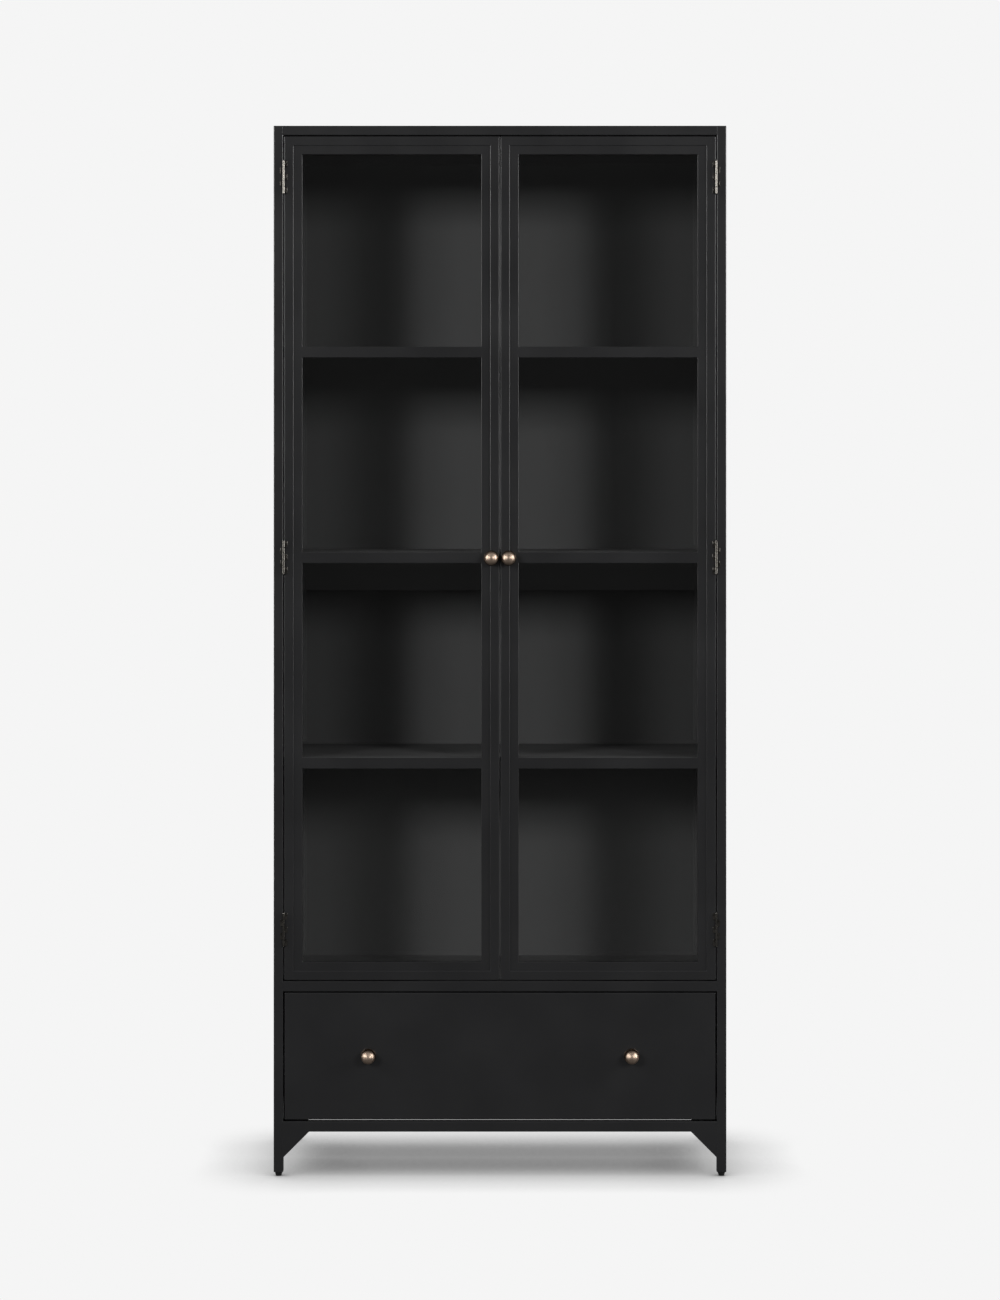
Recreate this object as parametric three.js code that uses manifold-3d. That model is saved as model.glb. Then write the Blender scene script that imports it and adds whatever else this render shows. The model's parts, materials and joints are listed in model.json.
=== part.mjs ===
// Apothecary cabinet: a tall black steel display cabinet with two glazed doors, three fixed
// shelves and one wide drawer. Square tubes carry it, folded sheet closes it, and every piece
// is a mesh of its own. Millimetres, +Z up, front towards -Y, origin at floor level under the
// middle of the bounding box.

import * as THREE from 'three';
import { mergeVertices } from 'three/addons/utils/BufferGeometryUtils.js';
import Module from 'manifold-3d';

const wasm = await Module();
wasm.setup();

// ---- Driving dimensions ----

const WIDTH = 952.5;
const DEPTH = 400;
const HEIGHT = 2210;
const KNOB_REACH = 30;

const TUBE = 20;
const TUBE_WALL = 1.5;
const TUBE_ARRIS = 1.5;
const SHEET = 1;
const TOP_SHEET = 1.5;
const PLATE = 3;
const FIT = 0.3;

const FOOT_HEIGHT = 9;
const LEG_HEIGHT = 93.6;
const RAIL_HEIGHT = 22;
const DRAWER_FRONT_HEIGHT = 266.7;
const DRAWER_GAP_BELOW = 3.7;
const DRAWER_GAP_ABOVE = 2.4;
const DRAWER_GAP_SIDE = 3.1;
const DOOR_GAP = 2.5;
const DOOR_GAP_TOP = 2.25;
const DOOR_GAP_BELOW = 2.2;

const DOOR_TUBE = 19.5;
const DOOR_BEAD = 18.5;
const BAR = 23;
const BARS = 3;
const BAR_PITCH = 432.5;
const LOWEST_PANE = 406.8;
const GLASS = 4;

// ---- Places worked out from them ----

const FRONT = KNOB_REACH / 2 - DEPTH / 2;
const BACK = FRONT + DEPTH;
const SIDE = WIDTH / 2;
const POST_INSIDE = SIDE - TUBE;
const TUBE_TOP = HEIGHT - TOP_SHEET - FIT;
const TOP_RAIL_BOTTOM = HEIGHT - TUBE;

const BOTTOM_RAIL_TOP = LEG_HEIGHT + RAIL_HEIGHT;
const DRAWER_BOTTOM = BOTTOM_RAIL_TOP + DRAWER_GAP_BELOW;
const DRAWER_TOP = DRAWER_BOTTOM + DRAWER_FRONT_HEIGHT;
const MIDDLE_RAIL_BOTTOM = DRAWER_TOP + DRAWER_GAP_ABOVE;
const FLOOR_TOP = MIDDLE_RAIL_BOTTOM + RAIL_HEIGHT;

const DOOR_BOTTOM = FLOOR_TOP + DOOR_GAP_BELOW;
const DOOR_TOP = TOP_RAIL_BOTTOM - DOOR_GAP_TOP;
const DOOR_HEIGHT = DOOR_TOP - DOOR_BOTTOM;
const DOOR_WIDTH = POST_INSIDE - DOOR_GAP * 1.5;
const DOOR_MIDDLE_X = (DOOR_GAP + DOOR_WIDTH) / 2;
const DOOR_MIDDLE_Z = (DOOR_TOP + DOOR_BOTTOM) / 2;
const STILE = DOOR_TUBE + DOOR_BEAD;
const LOWEST_BAR_BOTTOM = DOOR_BOTTOM + STILE + LOWEST_PANE;

// ---- Finishes ----

const blackPowderCoat = new THREE.MeshStandardMaterial({ color: 0x232324, roughness: 0.5, metalness: 0.1 });
const brightSteel = new THREE.MeshStandardMaterial({ color: 0xb9b8b4, roughness: 0.3, metalness: 1 });
const zincPlate = new THREE.MeshStandardMaterial({ color: 0xa3a5a6, roughness: 0.4, metalness: 1 });
const antiqueBrass = new THREE.MeshStandardMaterial({ color: 0x96724a, roughness: 0.32, metalness: 1 });
const clearGlass = new THREE.MeshStandardMaterial({ color: 0xe9f1ee, roughness: 0.03, metalness: 0 });
const blackNylon = new THREE.MeshStandardMaterial({ color: 0x141414, roughness: 0.6, metalness: 0 });

const cabinet = new THREE.Group();

// ---- Solid helpers ----

function solid(geometry) {
  const bare = geometry.clone();
  bare.deleteAttribute('normal');
  bare.deleteAttribute('uv');
  const merged = mergeVertices(bare, 1e-4);
  return new wasm.Manifold(new wasm.Mesh({
    numProp: 3,
    vertProperties: new Float32Array(merged.attributes.position.array),
    triVerts: new Uint32Array(merged.index.array),
  }));
}

function geometryOf(manifold) {
  const mesh = manifold.getMesh();
  const geometry = new THREE.BufferGeometry();
  geometry.setAttribute('position', new THREE.BufferAttribute(mesh.vertProperties, mesh.numProp));
  geometry.setIndex(new THREE.BufferAttribute(mesh.triVerts, 1));
  geometry.computeVertexNormals();
  return geometry;
}

// A block between two values on each axis.
function block([x0, x1], [y0, y1], [z0, z1]) {
  const geometry = new THREE.BoxGeometry(x1 - x0, y1 - y0, z1 - z0);
  geometry.translate((x0 + x1) / 2, (y0 + y1) / 2, (z0 + z1) / 2);
  return solid(geometry);
}

function piece(name, geometry, material, parent = cabinet) {
  const mesh = new THREE.Mesh(geometry, material);
  mesh.name = name;
  parent.add(mesh);
  return mesh;
}

function roundedRectangle(width, height, radius, PathClass = THREE.Shape) {
  const x = width / 2 - radius;
  const y = height / 2 - radius;
  const path = new PathClass();
  path.moveTo(x, -y - radius);
  path.absarc(x, -y, radius, -Math.PI / 2, 0);
  path.absarc(x, y, radius, 0, Math.PI / 2);
  path.absarc(-x, y, radius, Math.PI / 2, Math.PI);
  path.absarc(-x, -y, radius, Math.PI, Math.PI * 1.5);
  path.closePath();
  return path;
}

// An open-ended rectangular tube with rounded arrises, standing on the XY plane.
function tube(width, depth, length) {
  const section = roundedRectangle(width, depth, TUBE_ARRIS);
  const bore = roundedRectangle(width - 2 * TUBE_WALL, depth - 2 * TUBE_WALL, TUBE_ARRIS / 3, THREE.Path);
  section.holes.push(bore);
  return new THREE.ExtrudeGeometry(section, { depth: length, bevelEnabled: false, curveSegments: 2 });
}

// A turned piece about +Z from [radius, height] pairs that start and end on the axis.
function turned(profile, segments) {
  const points = profile.map(([radius, height]) => new THREE.Vector2(radius, height));
  const geometry = new THREE.LatheGeometry(points, segments);
  geometry.rotateX(Math.PI / 2);
  return geometry;
}

const sides = [['left', -1], ['right', 1]];
const ends = [['front', FRONT], ['back', BACK - TUBE]];

// ---- Frame: posts and their glides ----

const FOOT_TOP_RADIUS = 8.2;
const FOOT_FLOOR_RADIUS = 5.9;
const FOOT_STEM_RADIUS = 7.6;
const FOOT_STEM_LENGTH = 16;
const FOOT_COLLAR = 1.8;
const FOOT_SOLE_CHAMFER = 0.6;
const FOOT_STEM_CHAMFER = 1.5;

function footGlide() {
  return turned([
    [0, 0],
    [FOOT_FLOOR_RADIUS - FOOT_SOLE_CHAMFER, 0],
    [FOOT_FLOOR_RADIUS, FOOT_SOLE_CHAMFER],
    [FOOT_TOP_RADIUS, FOOT_HEIGHT - FIT - FOOT_COLLAR],
    [FOOT_TOP_RADIUS, FOOT_HEIGHT - FIT],
    [FOOT_STEM_RADIUS, FOOT_HEIGHT - FIT],
    [FOOT_STEM_RADIUS, FOOT_HEIGHT + FOOT_STEM_LENGTH - FOOT_STEM_CHAMFER],
    [FOOT_STEM_RADIUS - FOOT_STEM_CHAMFER, FOOT_HEIGHT + FOOT_STEM_LENGTH],
    [0, FOOT_HEIGHT + FOOT_STEM_LENGTH],
  ], 16);
}

for (const [endName, y] of ends) {
  for (const [sideName, side] of sides) {
    const x = side * (SIDE - TUBE / 2);
    const postTube = tube(TUBE, TUBE, TUBE_TOP - FOOT_HEIGHT);
    const post = piece(`post_${endName}_${sideName}`, postTube, blackPowderCoat);
    post.position.set(x, y + TUBE / 2, FOOT_HEIGHT);
    const foot = piece(`foot_${endName}_${sideName}`, footGlide(), blackNylon);
    foot.position.set(x, y + TUBE / 2, 0);
  }
}

// ---- Frame: rails across the width ----

function rail(name, bottom, top, y) {
  const length = 2 * (POST_INSIDE - FIT);
  const geometry = tube(top - bottom, TUBE, length);
  geometry.rotateY(Math.PI / 2);
  const mesh = piece(name, geometry, blackPowderCoat);
  mesh.position.set(-length / 2, y + TUBE / 2, (bottom + top) / 2);
}

for (const [endName, y] of ends) {
  rail(`top_rail_${endName}`, TOP_RAIL_BOTTOM, TUBE_TOP, y);
  rail(`bottom_rail_${endName}`, LEG_HEIGHT, BOTTOM_RAIL_TOP, y);
}
rail('middle_rail', MIDDLE_RAIL_BOTTOM, FLOOR_TOP, FRONT);

// ---- Frame: leg brackets ----
// A folded plate in the corner of post and bottom rail: a 45 degree web flush with the front, a
// flange under the rail that turns up behind it, and a lug at the height of the rail's top.

const BRACKET_LEG = 54;
const BRACKET_LUG = 34;

function legBracket(side) {
  const near = POST_INSIDE - FIT;
  const far = near - BRACKET_LEG;
  const spanX = [Math.min(side * near, side * far), Math.max(side * near, side * far)];
  const underRail = LEG_HEIGHT - FIT;
  const behindRail = FRONT + TUBE + FIT;
  const web = new THREE.Shape([
    new THREE.Vector2(side * near, underRail),
    new THREE.Vector2(side * far, underRail),
    new THREE.Vector2(side * near, underRail - BRACKET_LEG),
  ]);
  const webGeometry = new THREE.ExtrudeGeometry(web, { depth: PLATE, bevelEnabled: false });
  webGeometry.rotateX(Math.PI / 2);
  webGeometry.translate(0, FRONT + PLATE, 0);
  const foldWidth = BRACKET_LEG - PLATE;
  const foldX = side > 0 ? [spanX[1] - foldWidth, spanX[1]] : [spanX[0], spanX[0] + foldWidth];
  const flange = block(foldX, [FRONT, behindRail + PLATE], [underRail - PLATE, underRail]);
  const riser = block(foldX, [behindRail, behindRail + PLATE], [underRail - PLATE, BOTTOM_RAIL_TOP]);
  const lugY = [behindRail, behindRail + BRACKET_LUG];
  const lug = block(foldX, lugY, [BOTTOM_RAIL_TOP - PLATE, BOTTOM_RAIL_TOP]);
  return geometryOf(solid(webGeometry).add(flange).add(riser).add(lug));
}

for (const [sideName, side] of sides) {
  piece(`leg_bracket_${sideName}`, legBracket(side), blackPowderCoat);
}

// ---- Skin: side panels ----
// A shallow pan of folded sheet between the posts, open to the inside, with a hat rib across it
// at the height of the drawer slide, which bridges the pan's depth to carry the slide.

const SIDE_RECESS = 1;
const RIB_HEIGHT = 52;
const RIB_END_GAP = 6;
const SLIDE_BELOW_MIDDLE = 20;
const SLIDE_MIDDLE_Z = (DRAWER_TOP + DRAWER_BOTTOM) / 2 - SLIDE_BELOW_MIDDLE;

function sidePanel(side) {
  const outer = SIDE - SIDE_RECESS;
  const inner = POST_INSIDE + FIT;
  const acrossX = (from, to) => (side > 0 ? [from, to] : [-to, -from]);
  const spanY = [FRONT + TUBE + FIT, BACK - TUBE - FIT];
  const spanZ = [LEG_HEIGHT, TUBE_TOP];
  const pan = block(acrossX(inner, outer), spanY, spanZ).subtract(block(
    acrossX(inner - 1, outer - SHEET),
    [spanY[0] + SHEET, spanY[1] - SHEET],
    [spanZ[0] + SHEET, spanZ[1] - SHEET],
  ));
  const ribY = [spanY[0] + RIB_END_GAP, spanY[1] - RIB_END_GAP];
  const ribZ = [SLIDE_MIDDLE_Z - RIB_HEIGHT / 2, SLIDE_MIDDLE_Z + RIB_HEIGHT / 2];
  const rib = block(acrossX(inner, outer - SHEET / 2), ribY, ribZ).subtract(block(
    acrossX(inner + SHEET, outer - SHEET),
    [ribY[0] - 1, ribY[1] + 1],
    [ribZ[0] + SHEET, ribZ[1] - SHEET],
  ));
  return geometryOf(pan.add(rib));
}

for (const [sideName, side] of sides) {
  piece(`side_panel_${sideName}`, sidePanel(side), blackPowderCoat);
}

// ---- Skin: back panel ----
// Sheet between the back posts and rails, with a flat border and a field pressed back from it.

const BACK_BORDER = 23;
const BACK_RECESS = 2;
const BACK_STEP = 4.8;

function backPanel() {
  const halfWidth = POST_INSIDE - FIT;
  const z = [BOTTOM_RAIL_TOP + FIT, TOP_RAIL_BOTTOM - FIT];
  const rear = BACK - BACK_RECESS;
  const fieldFront = rear - SHEET;
  const borderFront = fieldFront - BACK_STEP;
  const sheetBlank = block([-halfWidth, halfWidth], [borderFront, rear], z);
  const fieldHalf = halfWidth - BACK_BORDER;
  const field = block(
    [-fieldHalf, fieldHalf],
    [borderFront - 1, fieldFront],
    [z[0] + BACK_BORDER, z[1] - BACK_BORDER],
  );
  const aroundField = block(
    [-fieldHalf - SHEET, fieldHalf + SHEET],
    [borderFront - 1, rear + 2],
    [z[0] + BACK_BORDER - SHEET, z[1] - BACK_BORDER + SHEET],
  );
  const behindBorder = block(
    [-halfWidth - 1, halfWidth + 1],
    [borderFront + SHEET, rear + 1],
    [z[0] - 1, z[1] + 1],
  ).subtract(aroundField);
  return geometryOf(sheetBlank.subtract(field).subtract(behindBorder));
}

piece('back_panel', backPanel(), blackPowderCoat);

// ---- Skin: top panel ----

const topPanel = piece('top_panel', new THREE.BoxGeometry(WIDTH, DEPTH, TOP_SHEET), blackPowderCoat);
topPanel.position.set(0, (FRONT + BACK) / 2, HEIGHT - TOP_SHEET / 2);

// ---- Shelves and compartment floor ----
// Sheet notched round the back posts, with a lip folded down at the front and a small one folded
// up along the back panel.

const SHELF_FRONT = FRONT + TUBE + SHEET + 2 * FIT;
const SHELF_LIP = 22;
const SHELF_UPSTAND = 8;
const SHELF_BACK = BACK - BACK_RECESS - SHEET - BACK_STEP - FIT;

function shelf(top) {
  const wide = SIDE - SIDE_RECESS - SHEET - FIT;
  const narrow = POST_INSIDE - FIT;
  const notch = BACK - TUBE - FIT;
  const deck = block([-narrow, narrow], [SHELF_FRONT, SHELF_BACK], [top - SHEET, top])
    .add(block([-wide, wide], [SHELF_FRONT, notch - SHEET - FIT], [top - SHEET, top]));
  const lip = block([-wide, wide], [SHELF_FRONT, SHELF_FRONT + SHEET], [top - SHELF_LIP, top]);
  const upstandY = [SHELF_BACK - SHEET, SHELF_BACK];
  const upstand = block([-narrow, narrow], upstandY, [top - SHEET, top + SHELF_UPSTAND]);
  return geometryOf(deck.add(lip).add(upstand));
}

const shelfNames = ['lower', 'middle', 'upper'];
shelfNames.forEach((name, index) => {
  const top = LOWEST_BAR_BOTTOM + index * BAR_PITCH + BAR;
  piece(`shelf_${name}`, shelf(top), blackPowderCoat);
});
piece('floor_panel', shelf(FLOOR_TOP), blackPowderCoat);

// ---- Double magnetic catch behind the top rail, one magnet for each door ----

const CATCH_HALF = 30;
const CATCH_DEPTH = 14;
const CATCH_DROP = 24;
const CATCH_PARTING = 4;
const CATCH_PARTING_ROOF = 2;

function doubleCatch() {
  const across = [-CATCH_HALF, CATCH_HALF];
  const face = FRONT + TUBE + 2 * FIT;
  const housingBottom = TOP_RAIL_BOTTOM - CATCH_DROP;
  const lug = block(across, [face, face + PLATE], [TOP_RAIL_BOTTOM, TUBE_TOP - PLATE]);
  const housing = block(across, [face, face + CATCH_DEPTH], [housingBottom, TOP_RAIL_BOTTOM]);
  const parting = block(
    [-CATCH_PARTING / 2, CATCH_PARTING / 2],
    [face - 1, face + CATCH_PARTING],
    [housingBottom - 1, TOP_RAIL_BOTTOM - CATCH_PARTING_ROOF],
  );
  return geometryOf(lug.add(housing).subtract(parting));
}

piece('magnetic_catch', doubleCatch(), blackNylon);

// ---- Doors ----
// A ring of square tube with a recessed bead inside it and three bars across, one glass pane
// behind the bead, and a retaining strip round the glass.

const BEAD_RECESS = 1.5;
const BEAD_DEPTH = 8;
const GLASS_FRONT = FRONT + BEAD_RECESS + BEAD_DEPTH + FIT;
const GLASS_CLEARANCE = 2;
const RETAINER_WIDTH = 12;
const RETAINER_DEPTH = TUBE - (GLASS_FRONT - FRONT) - GLASS - 2 * FIT;
const VENT = 4;

function doorFrame(side) {
  const x = side * DOOR_MIDDLE_X;
  const wide = (inset) => [x - DOOR_WIDTH / 2 + inset, x + DOOR_WIDTH / 2 - inset];
  const tall = (inset) => [DOOR_BOTTOM + inset, DOOR_TOP - inset];
  const outside = block(wide(0), [FRONT, FRONT + TUBE], tall(0));
  const pocket = block(wide(DOOR_TUBE), [FRONT - 1, FRONT + TUBE + 1], tall(DOOR_TUBE));
  const boreOutside = block(wide(TUBE_WALL), [FRONT + TUBE_WALL, FRONT + TUBE - TUBE_WALL], tall(TUBE_WALL));
  const boreInside = block(
    wide(DOOR_TUBE - TUBE_WALL),
    [FRONT - 1, FRONT + TUBE + 1],
    tall(DOOR_TUBE - TUBE_WALL),
  );
  const vent = block(
    [x - VENT / 2, x + VENT / 2],
    [FRONT + TUBE / 2 - VENT / 2, FRONT + TUBE / 2 + VENT / 2],
    [DOOR_BOTTOM - 1, DOOR_BOTTOM + TUBE_WALL + 1],
  );
  const ring = outside.subtract(pocket).subtract(boreOutside.subtract(boreInside)).subtract(vent);
  let bead = block(
    wide(DOOR_TUBE - TUBE_WALL / 2),
    [FRONT + BEAD_RECESS, FRONT + BEAD_RECESS + BEAD_DEPTH],
    tall(DOOR_TUBE - TUBE_WALL / 2),
  );
  for (let bar = 0; bar <= BARS; bar += 1) {
    const paneTop = bar < BARS ? LOWEST_BAR_BOTTOM + bar * BAR_PITCH : DOOR_TOP - STILE;
    const paneBottom = bar > 0 ? LOWEST_BAR_BOTTOM + (bar - 1) * BAR_PITCH + BAR : DOOR_BOTTOM + STILE;
    bead = bead.subtract(block(wide(STILE), [FRONT - 1, FRONT + TUBE], [paneBottom, paneTop]));
  }
  return geometryOf(ring.add(bead));
}

function retainer(side) {
  const x = side * DOOR_MIDDLE_X;
  const y = [GLASS_FRONT + GLASS + FIT, GLASS_FRONT + GLASS + FIT + RETAINER_DEPTH];
  const outsideInset = DOOR_TUBE + FIT;
  const insideInset = outsideInset + RETAINER_WIDTH;
  const wide = (inset) => [x - DOOR_WIDTH / 2 + inset, x + DOOR_WIDTH / 2 - inset];
  const tall = (inset) => [DOOR_BOTTOM + inset, DOOR_TOP - inset];
  const blank = block(wide(outsideInset), y, tall(outsideInset));
  return geometryOf(blank.subtract(block(wide(insideInset), [y[0] - 1, y[1] + 1], tall(insideInset))));
}

for (const [sideName, side] of sides) {
  piece(`door_frame_${sideName}`, doorFrame(side), blackPowderCoat);
  piece(`glass_retainer_${sideName}`, retainer(side), blackPowderCoat);
  const pocketInset = DOOR_TUBE + GLASS_CLEARANCE;
  const glass = piece(
    `door_glass_${sideName}`,
    new THREE.BoxGeometry(DOOR_WIDTH - 2 * pocketInset, GLASS, DOOR_HEIGHT - 2 * pocketInset),
    clearGlass,
  );
  glass.position.set(side * DOOR_MIDDLE_X, GLASS_FRONT + GLASS / 2, DOOR_MIDDLE_Z);
}

// ---- Butt hinges: three to a door ----
// Five knuckles round a pin, three of them the door leaf's. The leaves lie in the gap between post
// and door, the barrel stands just proud of the front, and a short lug beside each knuckle laps
// over the front of its own side.

const HINGE_LENGTH = 69;
const KNUCKLES = 5;
const KNUCKLE_RADIUS = 2.6;
const PIN_RADIUS = 1.4;
const HEAD_HEIGHT = 1.6;
const LEAF = 0.8;
const LEAF_WIDTH = 17;
const HINGE_X = POST_INSIDE - DOOR_GAP / 2;
const LUG_REACH = 7.4;
const HINGE_Y = FRONT - KNUCKLE_RADIUS - FIT;
const HINGE_HEIGHTS = [['top', 2102], ['middle', 1302], ['bottom', 519]];

function knuckle(bottom, top) {
  const ring = new THREE.Shape();
  ring.absarc(0, 0, KNUCKLE_RADIUS, 0, 2 * Math.PI);
  const bore = new THREE.Path();
  bore.absarc(0, 0, PIN_RADIUS + FIT, 0, 2 * Math.PI);
  ring.holes.push(bore);
  const upwards = { depth: top - bottom, bevelEnabled: false, curveSegments: 6 };
  const geometry = new THREE.ExtrudeGeometry(ring, upwards);
  geometry.translate(0, 0, bottom);
  return solid(geometry);
}

// The leaf on the side that towards points to, with the pin's axis at the origin. It owns every
// second knuckle, counted up from first.
function hingeLeaf(towards, first) {
  const inner = DOOR_GAP / 2 - FIT - LEAF;
  const outer = DOOR_GAP / 2 - FIT;
  const across = (from, to) => (towards > 0 ? [from, to] : [-to, -from]);
  const spanX = across(inner, outer);
  const pinToFront = FRONT - HINGE_Y;
  const pitch = HINGE_LENGTH / KNUCKLES;
  const plateY = [pinToFront + FIT, pinToFront + LEAF_WIDTH];
  let leaf = block(spanX, plateY, [-HINGE_LENGTH / 2, HINGE_LENGTH / 2]);
  for (let index = first; index < KNUCKLES; index += 2) {
    const bottom = -HINGE_LENGTH / 2 + index * pitch + FIT / 2;
    const top = bottom + pitch - FIT;
    const tongue = block(spanX, [KNUCKLE_RADIUS - LEAF / 2, plateY[0] + 1], [bottom, top]);
    const lug = block(across(FIT, LUG_REACH), [KNUCKLE_RADIUS - LEAF, KNUCKLE_RADIUS], [bottom, top]);
    leaf = leaf.add(knuckle(bottom, top)).add(tongue).add(lug);
  }
  return geometryOf(leaf);
}

// Half of the pin's profile, from its middle out over its domed head, and the same turned over.
function hingePin() {
  const half = HINGE_LENGTH / 2 + FIT;
  const head = PIN_RADIUS + 1;
  const upper = [
    [PIN_RADIUS, half],
    [head, half],
    [head, half + 0.45 * HEAD_HEIGHT],
    [head / 2, half + 0.9 * HEAD_HEIGHT],
    [0, half + HEAD_HEIGHT],
  ];
  const lower = upper.map(([radius, height]) => [radius, -height]).reverse();
  return turned([...lower, ...upper], 12);
}

for (const [sideName, side] of sides) {
  for (const [levelName, z] of HINGE_HEIGHTS) {
    const hinge = new THREE.Group();
    hinge.position.set(side * HINGE_X, HINGE_Y, z);
    cabinet.add(hinge);
    piece(`hinge_${levelName}_${sideName}_frame_leaf`, hingeLeaf(side, 1), brightSteel, hinge);
    piece(`hinge_${levelName}_${sideName}_door_leaf`, hingeLeaf(-side, 0), brightSteel, hinge);
    piece(`hinge_${levelName}_${sideName}_pin`, hingePin(), brightSteel, hinge);
  }
}

// ---- Knobs ----
// A thin rosette, a waisted neck and a slightly flattened ball, turned in one.

const ROSETTE_RADIUS = 16.5;
const ROSETTE_RIM = 1.6;
const ROSETTE_HEIGHT = 3.4;
const BALL_RADIUS = 14.25;
const BALL_FLATTENING = 0.86;
const BALL_STEPS = 8;
const NECK_RADIUS = 6;
const NECK_FLARE = 2.5;
const DOOR_KNOB_X = 18.2;
const DOOR_KNOB_Z = 1300.5;
const DRAWER_KNOB_X = 277;

function knobGeometry() {
  const ballHalf = BALL_RADIUS * BALL_FLATTENING;
  const ballMiddle = KNOB_REACH - ballHalf;
  const neckTop = Math.acos(NECK_RADIUS / BALL_RADIUS);
  const profile = [
    [0, FIT],
    [ROSETTE_RADIUS, FIT],
    [ROSETTE_RADIUS, ROSETTE_RIM],
    [ROSETTE_RADIUS - 1.2, ROSETTE_RIM + 1],
    [NECK_RADIUS + NECK_FLARE, ROSETTE_HEIGHT],
  ];
  for (let step = 0; step <= BALL_STEPS; step += 1) {
    const angle = -neckTop + (step / BALL_STEPS) * (neckTop + Math.PI / 2);
    const radius = step === BALL_STEPS ? 0 : BALL_RADIUS * Math.cos(angle);
    profile.push([radius, ballMiddle + ballHalf * Math.sin(angle)]);
  }
  const geometry = turned(profile, 18);
  geometry.rotateX(Math.PI / 2);
  return geometry;
}

function knob(name, x, z) {
  piece(name, knobGeometry(), antiqueBrass).position.set(x, FRONT, z);
}

for (const [sideName, side] of sides) {
  knob(`door_knob_${sideName}`, side * DOOR_KNOB_X, DOOR_KNOB_Z);
  knob(`drawer_knob_${sideName}`, side * DRAWER_KNOB_X, (DRAWER_TOP + DRAWER_BOTTOM) / 2);
}

// ---- Drawer ----
// A folded front pan, and a folded box behind it that hangs between two slides.

const DRAWER_FRONT_DEPTH = 18;
const SLIDE_THICKNESS = 12.7;
const BOX_HALF = POST_INSIDE - FIT - SLIDE_THICKNESS - FIT;
const BOX_CLEARANCE_BELOW = 18;
const BOX_CLEARANCE_ABOVE = 55;
const BOX_BOTTOM = DRAWER_BOTTOM + BOX_CLEARANCE_BELOW;
const BOX_TOP = DRAWER_TOP - BOX_CLEARANCE_ABOVE;
const BOX_FRONT = FRONT + DRAWER_FRONT_DEPTH + FIT;
const BOX_LENGTH = 344;

function drawerFront() {
  const half = POST_INSIDE - DRAWER_GAP_SIDE;
  const y = [FRONT, FRONT + DRAWER_FRONT_DEPTH];
  const pan = block([-half, half], y, [DRAWER_BOTTOM, DRAWER_TOP]);
  return geometryOf(pan.subtract(block(
    [-half + TUBE_WALL, half - TUBE_WALL],
    [y[0] + TUBE_WALL, y[1] + 1],
    [DRAWER_BOTTOM + TUBE_WALL, DRAWER_TOP - TUBE_WALL],
  )));
}

function drawerBox() {
  const y = [BOX_FRONT, BOX_FRONT + BOX_LENGTH];
  const tray = block([-BOX_HALF, BOX_HALF], y, [BOX_BOTTOM, BOX_TOP]);
  return geometryOf(tray.subtract(block(
    [-BOX_HALF + SHEET, BOX_HALF - SHEET],
    [y[0] + SHEET, y[1] - SHEET],
    [BOX_BOTTOM + SHEET, BOX_TOP + 1],
  )));
}

piece('drawer_front', drawerFront(), blackPowderCoat);
piece('drawer_box', drawerBox(), blackPowderCoat);

// ---- Drawer slides ----
// Three nested channels a side: the outer one on the side panel's rib, the middle one between,
// and the inner one on the drawer box.

const SLIDE_LENGTH = 340;
const SLIDE_START = BOX_FRONT + 2;
const SLIDE_CLEARANCE = 0.35;
const CHANNELS = {
  outer: { height: 45, lip: 9 },
  middle: { height: 35, lip: 8 },
  inner: { height: 24, lip: 7 },
};
const WEB_SPACING = 3;

// A channel with its web at webX and its lips turned by depth, which is positive towards the
// cabinet's middle.
function channel(side, webX, depth, height) {
  const across = (a, b) => [Math.min(side * a, side * b), Math.max(side * a, side * b)];
  const y = [SLIDE_START, SLIDE_START + SLIDE_LENGTH];
  const z = [SLIDE_MIDDLE_Z - height / 2, SLIDE_MIDDLE_Z + height / 2];
  const web = block(across(webX, webX - Math.sign(depth) * SHEET), y, z);
  const lowerLip = block(across(webX, webX - depth), y, [z[0], z[0] + SHEET]);
  const upperLip = block(across(webX, webX - depth), y, [z[1] - SHEET, z[1]]);
  return geometryOf(web.add(lowerLip).add(upperLip));
}

for (const [sideName, side] of sides) {
  const { outer, middle, inner } = CHANNELS;
  const outerWeb = POST_INSIDE + FIT - SLIDE_CLEARANCE;
  piece(`slide_outer_${sideName}`, channel(side, outerWeb, outer.lip, outer.height), zincPlate);
  piece(`slide_middle_${sideName}`, channel(side, outerWeb - WEB_SPACING, middle.lip, middle.height), zincPlate);
  piece(`slide_inner_${sideName}`, channel(side, BOX_HALF + FIT, -inner.lip, inner.height), zincPlate);
}

export default cabinet;
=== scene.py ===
"""Looks of a tall black steel apothecary cabinet: two glazed doors, three shelves, one wide drawer.

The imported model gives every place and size. The sections below follow the cabinet as it is put
together, from the welded frame to the knobs, and the studio comes last. Metres, +Z up, front to -Y.
"""
import json
import math

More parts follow.
